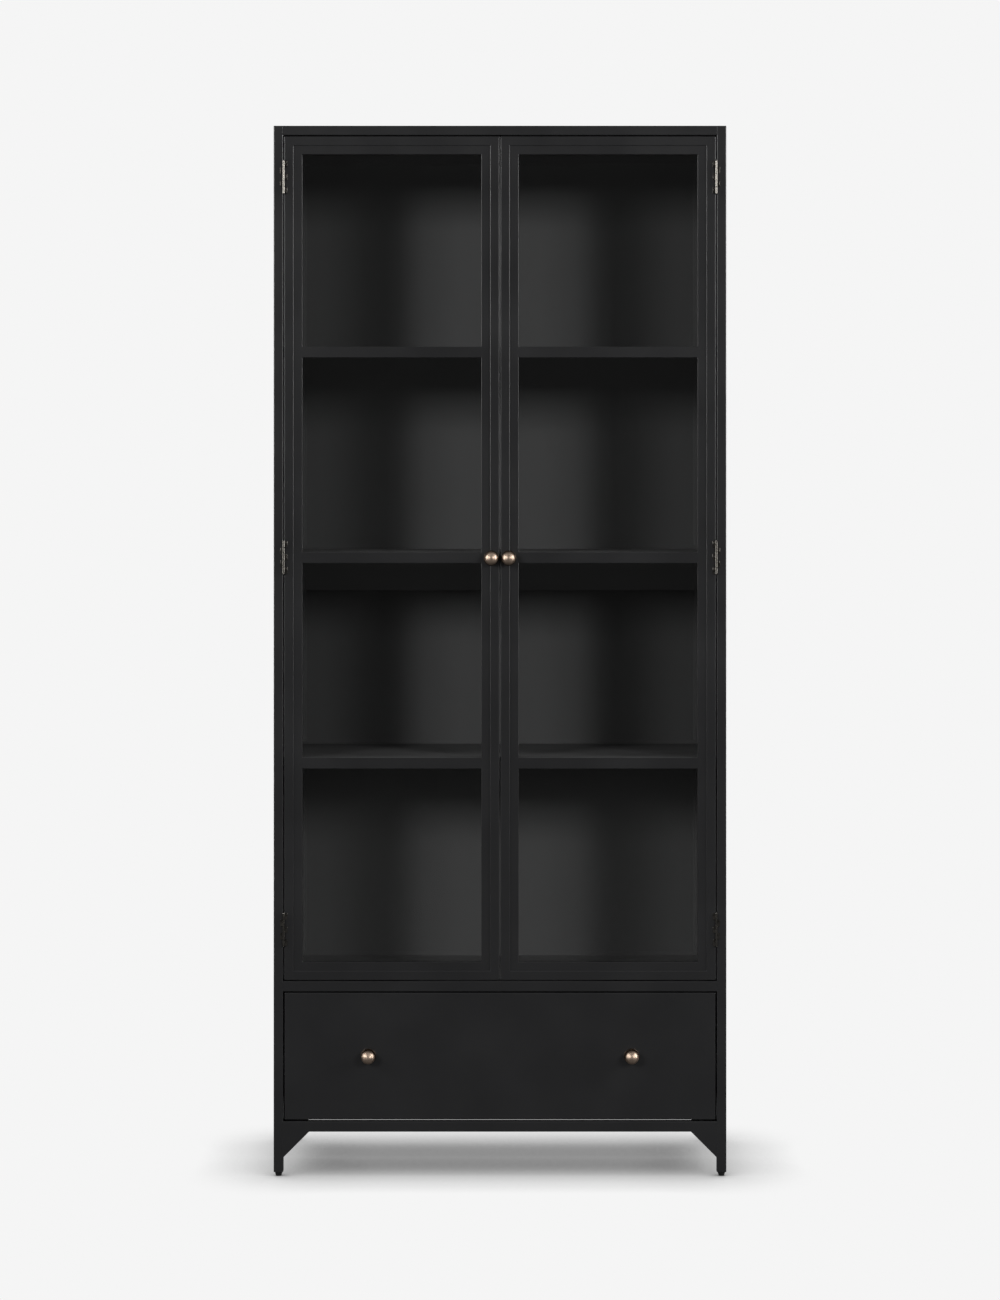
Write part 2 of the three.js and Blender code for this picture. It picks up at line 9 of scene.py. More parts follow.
import bpy
import numpy as np
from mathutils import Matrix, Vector


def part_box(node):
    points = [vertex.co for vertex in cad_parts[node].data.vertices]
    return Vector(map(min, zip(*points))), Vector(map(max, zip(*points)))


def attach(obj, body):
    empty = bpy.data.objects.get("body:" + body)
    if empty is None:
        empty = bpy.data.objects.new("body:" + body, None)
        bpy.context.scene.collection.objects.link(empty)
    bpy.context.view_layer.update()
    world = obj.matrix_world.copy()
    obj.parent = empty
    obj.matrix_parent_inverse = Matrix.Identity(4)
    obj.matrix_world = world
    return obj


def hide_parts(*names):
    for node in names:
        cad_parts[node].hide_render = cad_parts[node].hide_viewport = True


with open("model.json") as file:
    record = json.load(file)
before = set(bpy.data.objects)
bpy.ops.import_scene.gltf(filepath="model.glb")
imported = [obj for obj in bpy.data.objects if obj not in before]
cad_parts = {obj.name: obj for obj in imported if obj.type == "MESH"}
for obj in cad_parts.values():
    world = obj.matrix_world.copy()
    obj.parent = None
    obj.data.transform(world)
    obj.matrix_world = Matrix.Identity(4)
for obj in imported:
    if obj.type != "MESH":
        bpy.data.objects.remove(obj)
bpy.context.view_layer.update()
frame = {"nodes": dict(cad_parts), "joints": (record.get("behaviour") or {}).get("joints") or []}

MM = 0.001


# ---------------------------------------------------------------- corner posts
# Four legs of 20 mm square steel tube with a 1.5 mm wall run the whole height. They are cut square,
# welded to the rails, ground flush and sprayed with one coat of satin black powder.

TUBE_WALL = 1.5 * MM
TUBE_ARRIS = 1.6 * MM
CUT_EDGE = 0.3 * MM
SHADING_MARGIN = 0.15 * MM
SHARP_ANGLE = math.radians(35)


def linear(hex_colour):
    """Linear RGBA of an sRGB hex colour."""
    parts = [int(hex_colour[i:i + 2], 16) / 255 for i in (0, 2, 4)]
    return (*(p / 12.92 if p <= 0.04045 else ((p + 0.055) / 1.055) ** 2.4 for p in parts), 1.0)


def add_node(tree, kind, inputs=None, **settings):
    """A shader node with its settings. An input is given a value, or a socket to be linked to."""
    node = tree.nodes.new(kind)
    for name, value in settings.items():
        setattr(node, name, value)
    for name, value in (inputs or {}).items():
        if isinstance(value, bpy.types.NodeSocket):
            tree.links.new(value, node.inputs[name])
        else:
            node.inputs[name].default_value = value
    return node


def new_material(name):
    """An empty material, its node tree, and a socket with the object's own coordinates in metres."""
    material = bpy.data.materials.new(name)
    material.use_nodes = True
    tree = material.node_tree
    tree.nodes.clear()
    place = add_node(tree, "ShaderNodeTexCoord").outputs["Object"]
    return material, tree, place


def show(tree, shader):
    """Puts a shader on the material's surface."""
    add_node(tree, "ShaderNodeOutputMaterial", {"Surface": shader})


def noise(tree, place, feature, detail=2.0, roughness=0.5):
    """Noise whose blotches are about one feature size across, in metres."""
    return add_node(tree, "ShaderNodeTexNoise", {
        "Vector": place, "Scale": 1 / feature, "Detail": detail, "Roughness": roughness,
    }).outputs["Fac"]


def between(tree, fac, low, high):
    """A value that follows a noise from low, where it is 0.3, to high, where it is 0.7."""
    return add_node(tree, "ShaderNodeMapRange", {
        "Value": fac, "From Min": 0.3, "From Max": 0.7, "To Min": low, "To Max": high,
    }).outputs["Result"]


def blend_colours(tree, fac, low, high):
    """A colour between two hex colours."""
    ends = {0: fac, 6: linear(low), 7: linear(high)}
    return add_node(tree, "ShaderNodeMix", ends, data_type="RGBA").outputs[2]


def powder_coat(name, low, high, gloss, peel):
    """Black polyester powder, baked on steel. gloss is the lowest and highest roughness. peel is the
    depth of its orange peel, whose real 1.5 mm ripples are drawn 4 mm wide so that they show."""
    material, tree, place = new_material(name)
    patches = noise(tree, place, 140 * MM, 3.0)
    grain = noise(tree, place, 1.2 * MM, 2.0)
    ripples = noise(tree, place, 4 * MM, 2.0, 0.6)
    relief = add_node(tree, "ShaderNodeMath", {0: ripples, 1: grain}, operation="ADD").outputs[0]
    bump = add_node(tree, "ShaderNodeBump", {"Height": relief, "Distance": peel, "Strength": 0.5})
    shader = add_node(tree, "ShaderNodeBsdfPrincipled", {
        "Base Color": blend_colours(tree, patches, low, high),
        "Roughness": between(tree, patches, *gloss),
        "Normal": bump.outputs["Normal"],
        "IOR": 1.5,
    })
    show(tree, shader.outputs["BSDF"])
    return material


def unit(vectors):
    """The same directions at length one."""
    return vectors / np.linalg.norm(vectors, axis=-1, keepdims=True)


def sides_of(corners):
    """From each corner, the unit directions to the corner before it and to the corner after it."""
    return unit(np.roll(corners, 1, 0) - corners), unit(np.roll(corners, -1, 0) - corners)


def inset(corners, distance):
    """The same outline, anticlockwise, with every side moved inwards by distance: each corner moves
    by distance times (back + ahead) over the sine of its angle."""
    corners = np.asarray(corners, float)
    back, ahead = sides_of(corners)
    sine = ahead[:, :1] * back[:, 1:] - ahead[:, 1:] * back[:, :1]
    return corners + (back + ahead) * distance / sine


def rounded(corners, radius, steps=4):
    """A closed outline with each corner turned on an arc tangent to both its sides, and one more
    point on each side just past the arc, so that the flats stay flat when they are shaded smooth."""
    corners = np.asarray(corners, float)
    back, ahead = sides_of(corners)
    half = np.arccos(np.clip((back * ahead).sum(1, keepdims=True), -1, 1)) / 2
    reach = radius / np.tan(half)
    start, end = corners + back * reach, corners + ahead * reach
    centre = corners + unit(back + ahead) * radius / np.sin(half)
    turn = (math.pi - 2 * half)[:, None]
    t = np.linspace(0, 1, steps + 1)[None, :, None]
    from_start = np.sin((1 - t) * turn) * (start - centre)[:, None]
    from_end = np.sin(t * turn) * (end - centre)[:, None]
    arc = (from_start + from_end) / np.sin(turn) + centre[:, None]
    before = (start + back * SHADING_MARGIN)[:, None]
    after = (end + ahead * SHADING_MARGIN)[:, None]
    return np.concatenate([before, arc, after], 1).reshape(-1, 2)


def rectangle(low, high):
    """The four corners of a rectangle, anticlockwise."""
    return np.array([(low[0], low[1]), (high[0], low[1]), (high[0], high[1]), (low[0], high[1])])


ACROSS = {"x": [1, 2], "y": [0, 2], "z": [0, 1]}


def stations(outlines, axis, levels):
    """Rings in space: flat outlines set square across an axis, each at its own level along it."""
    outlines = np.asarray(outlines, float)
    rings = np.empty((*outlines.shape[:2], 3))
    rings[..., ACROSS[axis]] = outlines
    rings[..., "xyz".index(axis)] = np.asarray(levels, float)[:, None]
    return rings


def shell(rings, closed=False):
    """Points and faces of a surface woven ring by ring: point j of ring i joins point j + 1 and the
    same point of ring i + 1. A closed shell joins its last ring to its first, and any other has a
    flat face on each end. It is turned inside out if the volume inside comes out negative."""
    rows, columns = rings.shape[:2]
    index = np.arange(rows * columns).reshape(rows, columns)
    below = index if closed else index[:-1]
    above = np.roll(index, -1, 0) if closed else index[1:]
    quads = np.stack([below, np.roll(below, -1, 1), np.roll(above, -1, 1), above], -1).reshape(-1, 4)
    points = rings.reshape(-1, 3)
    middle = points.mean(0)
    a, b, c, d = (points[quads[:, i]] - middle for i in range(4))
    volume = (a * np.cross(b, c)).sum() + (a * np.cross(c, d)).sum()
    faces = quads.tolist()
    if not closed:
        faces += [index[0][::-1].tolist(), index[-1].tolist()]
        ends = [(points[ring] - middle) for ring in (index[0][::-1], index[-1])]
        volume += sum((e[0] * np.cross(e[1:-1], e[2:])).sum() for e in ends)
    if volume < 0:
        faces = [face[::-1] for face in faces]
    return points, faces


def put(name, shells, material, body, stands_for=None):
    """One piece made of closed shells. It rides on a body and may stand for a CAD node."""
    points, faces, count = [], [], 0
    for shell_points, shell_faces in shells:
        points.append(shell_points)
        faces += [[index + count for index in face] for face in shell_faces]
        count += len(shell_points)
    mesh = bpy.data.meshes.new(name)
    mesh.from_pydata(np.concatenate(points), [], faces)
    mesh.polygons.foreach_set("use_smooth", np.ones(len(faces), bool))
    mesh.set_sharp_from_angle(angle=SHARP_ANGLE)
    mesh.materials.append(material)
    piece = bpy.data.objects.new(name, mesh)
    bpy.context.scene.collection.objects.link(piece)
    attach(piece, body)
    if stands_for:
        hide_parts(stands_for)
    return piece


def tube(low, high, axis):
    """An open-ended rectangular tube with broken ends: its section is carried up the outside and back
    down the bore."""
    u, v = ACROSS[axis]
    along = "xyz".index(axis)
    corners = rectangle((low[u], low[v]), (high[u], high[v]))
    outside = rounded(corners, TUBE_ARRIS)
    chamfered = rounded(inset(corners, CUT_EDGE), TUBE_ARRIS - CUT_EDGE)
    bore = rounded(inset(corners, TUBE_WALL), TUBE_ARRIS / 3)
    start, end = low[along], high[along]
    levels = [start + CUT_EDGE, end - CUT_EDGE, end, end, start, start]
    outlines = [outside, outside, chamfered, bore, bore, chamfered]
    return shell(stations(outlines, axis, levels), closed=True)


# Neutral black with a soft, broad highlight along every edge that faces a lamp.
satin_black = powder_coat("satin_black_powder_coat", "1a1a1b", "1e1e1f", (0.29, 0.36), 0.03 * MM)

for end in ("front", "back"):
    for side in ("left", "right"):
        node = f"post_{end}_{side}"
        put(f"corner_post_{end}_{side}", [tube(*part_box(node), "z")], satin_black, "carcass", node)


# ---------------------------------------------------------------- rails
# Five rails of the same tube cross the cabinet between the posts. Their welds are ground flat, so a
# rail's front runs on into the post: each end goes past the post's rounded arris to fill it.

rail_nodes = ("top_rail_front", "top_rail_back", "middle_rail", "bottom_rail_front", "bottom_rail_back")
for node in rail_nodes:
    low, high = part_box(node)
    low.x -= TUBE_ARRIS
    high.x += TUBE_ARRIS
    put(f"{node}_tube", [tube(low, high, "x")], satin_black, "carcass", node)


# ---------------------------------------------------------------- leg brackets
# In each front corner under the bottom rail a gusset of 3 mm plate stiffens the leg. Its web is flush
# with the front and welded all round, and a folded strip closes the corner behind the rail.

BRACKET_PLATE = 3 * MM
BRACKET_EDGE = 0.5 * MM
FOLD_RADIUS = 1.2 * MM
RAIL_CLEARANCE = 0.3 * MM
STRIP_FROM_POST = 2 * MM
STRIP_FROM_TIP = 5 * MM


def plate(corners, axis, near, far, edge):
    """A flat plate with rounded edges: its outline moves out along a quarter circle as it leaves one
    face, crosses the thickness, and moves in along another quarter circle to reach the other."""
    turn = np.linspace(0, math.pi / 2, 4)
    margin = edge + SHADING_MARGIN
    steps = [(margin, 0)] + [(edge * (1 - math.sin(t)), edge * (1 - math.cos(t))) for t in turn]
    insets = [step[0] for step in steps] + [step[0] for step in steps[::-1]]
    levels = [near + step[1] for step in steps] + [far - step[1] for step in steps[::-1]]
    outlines = [rounded(inset(corners, d), edge) for d in insets]
    return shell(stations(outlines, axis, levels))


def folded_strip(path, thickness, axis, near, far):
    """Sheet of one thickness bent along an open path of corners and carried straight along an axis.
    Its outline runs down the path and back along the same path shifted to the left by the thickness,
    or to the right if that is negative."""
    path = np.asarray(path, float)
    ahead = unit(np.diff(path, axis=0))
    normal = np.stack([-ahead[:, 1], ahead[:, 0]], 1)
    first, last = normal[:1], normal[-1:]
    joint = normal[:-1] + normal[1:]
    joint = joint / (joint * normal[1:]).sum(1, keepdims=True)
    shifted = path + thickness * np.concatenate([first, joint, last])
    corners = np.concatenate([path, shifted[::-1]])
    if np.cross(corners, np.roll(corners, -1, 0)).sum() < 0:
        corners = corners[::-1]
    outline = rounded(corners, min(FOLD_RADIUS, 0.3 * abs(thickness)), 3)
    return shell(stations([outline, outline], axis, [near, far]))


for side, sign in (("left", -1), ("right", 1)):
    node = f"leg_bracket_{side}"
    low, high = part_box(node)
    rail_low, rail_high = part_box("bottom_rail_front")
    at_post = (high.x if sign > 0 else low.x) + sign * TUBE_ARRIS
    far = (low.x if sign > 0 else high.x) - sign * TUBE_ARRIS
    up = rail_low.z + TUBE_ARRIS
    web = [(far, up), (at_post, up), (at_post, up - abs(at_post - far))]
    if sign > 0:
        web = web[::-1]
    under = rail_low.z - RAIL_CLEARANCE
    behind = rail_high.y + RAIL_CLEARANCE
    over = high.z - BRACKET_PLATE
    strip = [(low.y + BRACKET_PLATE, under), (behind, under), (behind, over), (high.y, over)]
    strip_x = sorted((at_post - sign * STRIP_FROM_POST, far + sign * STRIP_FROM_TIP))
    shells = [
        plate(web, "y", low.y, low.y + BRACKET_PLATE, BRACKET_EDGE),
        folded_strip(strip, -BRACKET_PLATE, "x", *strip_x),
    ]
    put(f"leg_gusset_{side}", shells, satin_black, "carcass", node)


# ---------------------------------------------------------------- glides
# A tapered black nylon glide is pushed into the foot of each tube, and stands the cabinet 9 mm clear
# of the floor. It is injection moulded, so it is smooth and a little waxy.

TIP = 0.02 * MM
SOLE_TAPER = 0.72
STEM_STEP = 0.7 * MM


def turned(profile, centre, axis="z", columns=32):
    """A turned shell: a profile of (radius, height) pairs carried round an axis through centre. It
    starts and ends at the radius of its tip, where a tiny flat face closes it."""
    profile = np.asarray(profile, float)
    angle = np.linspace(0, 2 * math.pi, columns, endpoint=False)
    circle = np.stack([np.cos(angle), np.sin(angle)], -1)
    u, v = ACROSS[axis]
    along = "xyz".index(axis)
    outlines = profile[:, :1, None] * circle[None] + np.array([centre[u], centre[v]])
    return shell(stations(outlines, axis, centre[along] + profile[:, 1]))


def moulded_nylon():
    """Black PA6 as it leaves the mould: even colour, faint flow marks and a soft waxy sheen."""
    material, tree, place = new_material("moulded_black_nylon")
    flow = noise(tree, place, 6 * MM, 3.0)
    bump = add_node(tree, "ShaderNodeBump", {"Height": flow, "Distance": 0.04 * MM, "Strength": 0.4})
    shader = add_node(tree, "ShaderNodeBsdfPrincipled", {
        "Base Color": blend_colours(tree, flow, "121212", "181818"),
        "Roughness": between(tree, flow, 0.42, 0.55),
        "Normal": bump.outputs["Normal"],
        "IOR": 1.53,
    })
    show(tree, shader.outputs["BSDF"])
    return material


black_nylon = moulded_nylon()

for end in ("front", "back"):
    for side in ("left", "right"):
        node = f"foot_{end}_{side}"
        low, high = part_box(node)
        leg_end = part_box(f"post_{end}_{side}")[0].z
        collar = (high.x - low.x) / 2
        sole = SOLE_TAPER * collar
        stem = collar - STEM_STEP
        glide = [
            (TIP, 0), (sole - 0.9 * MM, 0), (sole - 0.3 * MM, 0.25 * MM), (sole, 0.9 * MM),
            (collar - 0.4 * MM, leg_end - 2.4 * MM), (collar, leg_end - 1.7 * MM),
            (collar, leg_end - 0.5 * MM), (collar - 0.3 * MM, leg_end - 0.3 * MM),
            (stem, leg_end - 0.3 * MM), (stem, high.z - 1.5 * MM),
            (stem - 1.5 * MM, high.z), (TIP, high.z),
        ]
        centre = ((low.x + high.x) / 2, (low.y + high.y) / 2, 0)
        put(f"glide_{end}_{side}", [turned(glide, centre)], black_nylon, "carcass", node)


# ---------------------------------------------------------------- side panels, floor and shelves
# Folded from 1 mm steel. The side pans hook between the posts, and the floor and the three shelves
# are spot-welded to them. Folding leaves a small radius on every edge, which the modifiers give.

SIDE_FOLD = 0.45 * MM
SHELF_FOLD = 0.3 * MM
FOLD_STEPS = 3
FOLD_ANGLE = math.radians(40)


def fold_edges(node, radius, material):
    """A CAD node as folded sheet: its triangles are joined into whole flats, and every edge that turns
    by more than the fold angle is rounded."""
    piece = frame["nodes"][node]
    weld = piece.modifiers.new("joined_triangles", "WELD")
    weld.merge_threshold = 0.01 * MM
    flats = piece.modifiers.new("whole_flats", "DECIMATE")
    flats.decimate_type = "DISSOLVE"
    flats.angle_limit = math.radians(1)
    edges = piece.modifiers.new("folded_edges", "BEVEL")
    edges.width = radius
    edges.segments = FOLD_STEPS
    edges.limit_method = "ANGLE"
    edges.angle_limit = FOLD_ANGLE
    edges.harden_normals = True
    piece.data.materials.clear()
    piece.data.materials.append(material)


# The same powder with a drier finish and hardly any highlight. Its colour is painted light: greyer than
# the frame's black, to stand in for the light that falls inside the cabinet.
painted_light_coat = powder_coat("dry_black_powder_coat", "404041", "464646", (0.66, 0.76), 0.06 * MM)

for side in ("left", "right"):
    fold_edges(f"side_panel_{side}", SIDE_FOLD, satin_black)
# The floor and the shelves get the drier coat, whose greyer colour is painted light.
for node in ("floor_panel", "shelf_lower", "shelf_middle", "shelf_upper"):
    fold_edges(node, SHELF_FOLD, painted_light_coat)


# ---------------------------------------------------------------- back panel
# One steel sheet, pressed so that its field lies 5 mm behind a flat border. Inside it has the drier
# coat, whose greyer colour is painted light for the inside of the cabinet. The rear face
# is coated like the frame.

PANEL_SHEET = 1 * MM
PANEL_BORDER = 23 * MM
BEND_WIDTH = 6 * MM


def pressed_panel(low, high):
    """A sheet with a sunk field: each ring is the outline moved in by d, at a depth that falls from
    the border to the field on the S curve 3b^2 - 2b^3. Its corners are rounder the further in it
    lies. The rings run outwards over the front and back in behind."""
    step = high.y - low.y - PANEL_SHEET
    corners = rectangle((low.x, low.z), (high.x, high.z))
    bend = np.linspace(0, 1, 9)
    bend_start = PANEL_BORDER - BEND_WIDTH / 2
    border = [0.2 * MM, 0.6 * MM, bend_start - 1 * MM]
    field = [bend_start + BEND_WIDTH + 2 * MM]
    insets = np.concatenate([border, bend_start + BEND_WIDTH * bend, field])
    fall = np.concatenate([[0, 0, 0], 3 * bend ** 2 - 2 * bend ** 3, [1]]) * step
    front = [rounded(inset(corners, d), 1 * MM + d / 6) for d in insets[::-1]]
    depth = low.y + fall[::-1]
    back = front[::-1]
    levels = np.concatenate([depth, depth[::-1] + PANEL_SHEET])
    return shell(stations(front + back, "y", levels))


low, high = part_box("back_panel")
panel = pressed_panel(low, high)
back_panel = put("pressed_back_panel", [panel], painted_light_coat, "carcass", "back_panel").data
back_panel.materials.append(satin_black)
normals = np.empty(3 * len(back_panel.polygons))
back_panel.polygons.foreach_get("normal", normals)
faces_back = normals[1::3] > 0
back_panel.polygons.foreach_set("material_index", faces_back.astype(np.int32))


# ---------------------------------------------------------------- top panel
# A 1.5 mm sheet lies on the posts and the top rails and covers the tube ends. It is welded from below
# and its edges are linished round before coating.

TOP_EDGE = 0.7 * MM
WELD_SINK = 0.3 * MM

low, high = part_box("top_panel")
corners = rectangle((low.x, low.y), (high.x, high.y))
top_sheet = plate(corners, "z", low.z - WELD_SINK, high.z, TOP_EDGE)
put("top_sheet", [top_sheet], satin_black, "carcass", "top_panel")


# ---------------------------------------------------------------- magnetic catch
# A moulded double catch hangs behind the top rail. Each half holds a ferrite magnet between two steel
# pole plates, which just meet the back of a closed door.

CATCH_SPREAD = 15.5 * MM
POLE_HEIGHTS = (5 * MM, 15 * MM)
POLE_WIDTH = 18 * MM
POLE_SHEET = 1.6 * MM
POLE_PROUD = 0.25 * MM
POLE_SHOWN = 2 * MM
POLE_EDGE = 0.2 * MM
CATCH_EDGE = 0.3 * MM


def plated_steel(name, low, high, gloss, brushed):
    """Plated low-carbon steel. brushed is the spacing of its fine drawing lines along Z, drawn wider
    than their real 0.1 mm, and patches of thinner plate change its colour and gloss."""
    material, tree, place = new_material(name)
    patches = noise(tree, place, 12 * MM, 3.0)
    stretched = add_node(tree, "ShaderNodeMapping", {"Vector": place, "Scale": (1.0, 1.0, 0.05)})
    lines = noise(tree, stretched.outputs["Vector"], brushed, 2.0)
    bump = add_node(tree, "ShaderNodeBump", {"Height": lines, "Distance": 0.02 * MM, "Strength": 0.35})
    shader = add_node(tree, "ShaderNodeBsdfPrincipled", {
        "Base Color": blend_colours(tree, patches, low, high),
        "Metallic": 1.0,
        "Roughness": between(tree, patches, *gloss),
        "Normal": bump.outputs["Normal"],
    })
    show(tree, shader.outputs["BSDF"])
    return material


# Pale cool grey, half bright, with faint drawing lines.
zinc = plated_steel("zinc_plated_steel", "8d9092", "b4b6b6", (0.30, 0.45), 0.6 * MM)

fold_edges("magnetic_catch", CATCH_EDGE, black_nylon)
low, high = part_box("magnetic_catch")
poles = []
for middle in (-CATCH_SPREAD, CATCH_SPREAD):
    for pole_height in POLE_HEIGHTS:
        bottom = low.z + pole_height
        lowest = (middle - POLE_WIDTH / 2, bottom)
        highest = (middle + POLE_WIDTH / 2, bottom + POLE_SHEET)
        corners = rectangle(lowest, highest)
        poles.append(plate(corners, "y", low.y - POLE_PROUD, low.y + POLE_SHOWN, POLE_EDGE))
put("catch_pole_plates", poles, zinc, "carcass")


# ---------------------------------------------------------------- hinges
# Three nickel-plated butt hinges to a door. Each leaf is 0.8 mm steel curled round the pin: three
# curls belong to the door and two to the post, with a lug beside each that laps over the front.

HINGE_LENGTH = 69 * MM
KNUCKLES = 5
KNUCKLE_GAP = 0.12 * MM
LEAF = 0.8 * MM
LEAF_GAP = 0.15 * MM
LEAF_EDGE = 0.2 * MM
LUG_GAP = 0.3 * MM
LUG_EDGE = 0.35 * MM
CURL_EDGE = 0.25 * MM
PIN_RADIUS = 1.42 * MM
PIN_HOLE = 1.5 * MM
PIN_DOME = 1.6 * MM


def curl(axis_point, bottom, top, outer):
    """One knuckle: a thick ring, its rectangular section with broken corners carried round the pin."""
    inner, e = PIN_HOLE, CURL_EDGE
    section = np.array([
        (inner, bottom + e), (inner + e, bottom), (outer - e, bottom), (outer, bottom + e),
        (outer, top - e), (outer - e, top), (inner + e, top), (inner, top - e),
    ])
    angle = np.linspace(0, 2 * math.pi, 28, endpoint=False)
    circle = np.stack([np.cos(angle), np.sin(angle)], -1)
    outlines = section[:, :1, None] * circle[None] + np.array(axis_point)
    return shell(stations(outlines, "z", section[:, 1]), closed=True)


# Nickel gone dull: a dark warm grey, with a small bright line along each curl.
nickel = plated_steel("nickel_plated_steel", "5a5753", "726f6a", (0.16, 0.26), 0.4 * MM)
hinge_joint = {joint["child"]: joint["pos_m"] for joint in frame["joints"] if joint["type"] == "hinge"}

for side, sign in (("left", -1), ("right", 1)):
    axis_x, axis_y = hinge_joint[f"{side}_door"][:2]
    leaves = (("frame", sign, 1, "carcass"), ("door", -sign, 0, f"{side}_door"))
    for level in ("bottom", "middle", "top"):
        pin_low, pin_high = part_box(f"hinge_{level}_{side}_pin")
        foot_z = (pin_low.z + pin_high.z - HINGE_LENGTH) / 2
        for kind, towards, first, body in leaves:
            node = f"hinge_{level}_{side}_{kind}_leaf"
            low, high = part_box(node)
            radius = axis_y - low.y
            lug_reach = max(abs(low.x - axis_x), abs(high.x - axis_x))
            leaf_x = sorted((axis_x + towards * LEAF_GAP, axis_x + towards * (LEAF_GAP + LEAF)))
            leaf = rectangle((leaf_x[0], axis_y + radius - LEAF / 2), (leaf_x[1], high.y))
            lug_x = sorted((axis_x + towards * LUG_GAP, axis_x + towards * lug_reach))
            lug = rectangle((lug_x[0], axis_y + radius - LEAF), (lug_x[1], axis_y + radius))
            shells = [plate(leaf, "z", foot_z, foot_z + HINGE_LENGTH, LEAF_EDGE)]
            for index in range(first, KNUCKLES, 2):
                bottom = foot_z + index * HINGE_LENGTH / KNUCKLES + KNUCKLE_GAP
                top = foot_z + (index + 1) * HINGE_LENGTH / KNUCKLES - KNUCKLE_GAP
                shells.append(curl((axis_x, axis_y), bottom, top, radius))
                shells.append(plate(lug, "z", bottom, top, LUG_EDGE))
            put(f"{level}_{side}_hinge_{kind}_leaf", shells, nickel, body, node)
        head = (pin_high.x - pin_low.x) / 2
        middle = (pin_low.z + pin_high.z) / 2
        half = (pin_high.z - pin_low.z) / 2 - PIN_DOME
        turn = np.linspace(0.02, math.pi / 2, 6)
        dome = [(head * math.sin(t), PIN_DOME * math.cos(t)) for t in turn]
        profile = [(r, -half - h) for r, h in dome]
        profile += [(PIN_RADIUS, -half), (PIN_RADIUS, half)]
        profile += [(r, half + h) for r, h in dome[::-1]]
        pin = turned(profile, (axis_x, axis_y, middle), columns=24)
        node = f"hinge_{level}_{side}_pin"
        put(f"{level}_{side}_hinge_pin", [pin], nickel, "carcass", node)


# ---------------------------------------------------------------- door frames
# Each door is a mitred ring of square tube. A bead of flat bar is welded inside it 1.5 mm below the
# face, with three glazing bars across, and the whole frame is ground, then coated like the carcass.

TUBE_FACE = 19.5 * MM
DOOR_ARRIS = 0.8 * TUBE_ARRIS
DOOR_CORNER = 1.5 * MM
BEAD_FACE = 18.5 * MM
BEAD_DEPTH = 8 * MM
BEAD_SINK = 1.5 * MM
BEAD_ARRIS = 0.9 * MM
BEAD_LAP = 1.2 * MM
BARS = 3
BAR = 23 * MM
BAR_PITCH = 432.5 * MM
LOWEST_PANE = 406.8 * MM


def mitred_ring(low, high, section, corner):
    """A section carried round a rectangle standing in the XZ plane. Each point (d, y) of the section
    becomes the rectangle moved in by d at depth y, and its corners are turned on a small radius."""
    corners = rectangle((low.x, low.z), (high.x, high.z))
    outlines = [rounded(inset(corners, d), max(corner - d, 0.25 * MM), 3) for d, _ in section]
    return shell(stations(outlines, "y", [y for _, y in section]), closed=True)


for side in ("left", "right"):
    node = f"door_frame_{side}"
    body = f"{side}_door"
    low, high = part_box(node)
    stile = TUBE_FACE + BEAD_FACE
    bead_start = TUBE_FACE - BEAD_LAP
    bead_front = low.y + BEAD_SINK
    bead_back = bead_front + BEAD_DEPTH
    tube_section = rounded(rectangle((0, low.y), (TUBE_FACE, high.y)), DOOR_ARRIS)
    bead_section = rounded(rectangle((bead_start, bead_front), (stile, bead_back)), BEAD_ARRIS)
    shells = [
        mitred_ring(low, high, tube_section, DOOR_CORNER),
        mitred_ring(low, high, bead_section, 0),
    ]
    for bar in range(BARS):
        foot_z = low.z + stile + LOWEST_PANE + bar * BAR_PITCH
        section = rounded(rectangle((bead_front, foot_z), (bead_back, foot_z + BAR)), BEAD_ARRIS)
        ends = [low.x + stile - BEAD_ARRIS, high.x - stile + BEAD_ARRIS]
        shells.append(shell(stations([section, section], "x", ends)))
    put(f"{side}_door_frame", shells, satin_black, body, node)


# ---------------------------------------------------------------- glass
# One pane of clear 4 mm float glass to a door, its edges ground. It lies behind the bars on a black
# sealing strip, and a screwed steel strip behind it holds it in.

GROUND_EDGE = 0.5 * MM
SEAL_SHEET = 0.26 * MM
SEAL_GAP = 0.02 * MM
SEAL_FROM_TUBE = 3 * MM
SEAL_TO_SIGHT = 1.1 * MM
SEAL_EDGE = 0.08 * MM
RETAINER_FOLD = 0.6 * MM
SCREW_ROWS = 6
SCREW_FROM_END = 60 * MM
SCREW_FROM_EDGE = 6 * MM


def float_glass():
    """Soda-lime float glass: almost colourless face on, with a faint green from its iron and the very
    slight waves of the float bath. Lamps pass it unbent, so that they light the shelves behind."""
    material, tree, place = new_material("clear_float_glass")
    waves = noise(tree, place, 160 * MM, 1.0)
    bump = add_node(tree, "ShaderNodeBump", {"Height": waves, "Distance": 0.1 * MM, "Strength": 0.1})
    glass = add_node(tree, "ShaderNodeBsdfPrincipled", {
        "Base Color": linear("fdfefd"),
        "Roughness": 0.0,
        "IOR": 1.52,
        "Transmission Weight": 1.0,
        "Normal": bump.outputs["Normal"],
    })
    clear = add_node(tree, "ShaderNodeBsdfTransparent", {"Color": linear("f5f5f5")})
    for_lamps = add_node(tree, "ShaderNodeLightPath").outputs["Is Shadow Ray"]
    mix = add_node(tree, "ShaderNodeMixShader", {
        0: for_lamps, 1: glass.outputs["BSDF"], 2: clear.outputs["BSDF"],
    })
    show(tree, mix.outputs["Shader"])
    return material


def rubber_strip():
    """Black EPDM strip: matt, with a faint bloom in patches."""
    material, tree, place = new_material("black_epdm_strip")
    bloom = noise(tree, place, 25 * MM, 3.0)
    shader = add_node(tree, "ShaderNodeBsdfPrincipled", {
        "Base Color": blend_colours(tree, bloom, "0e0e0e", "1a1a1a"),
        "Roughness": between(tree, bloom, 0.7, 0.9),
        "IOR": 1.5,
    })
    show(tree, shader.outputs["BSDF"])
    return material


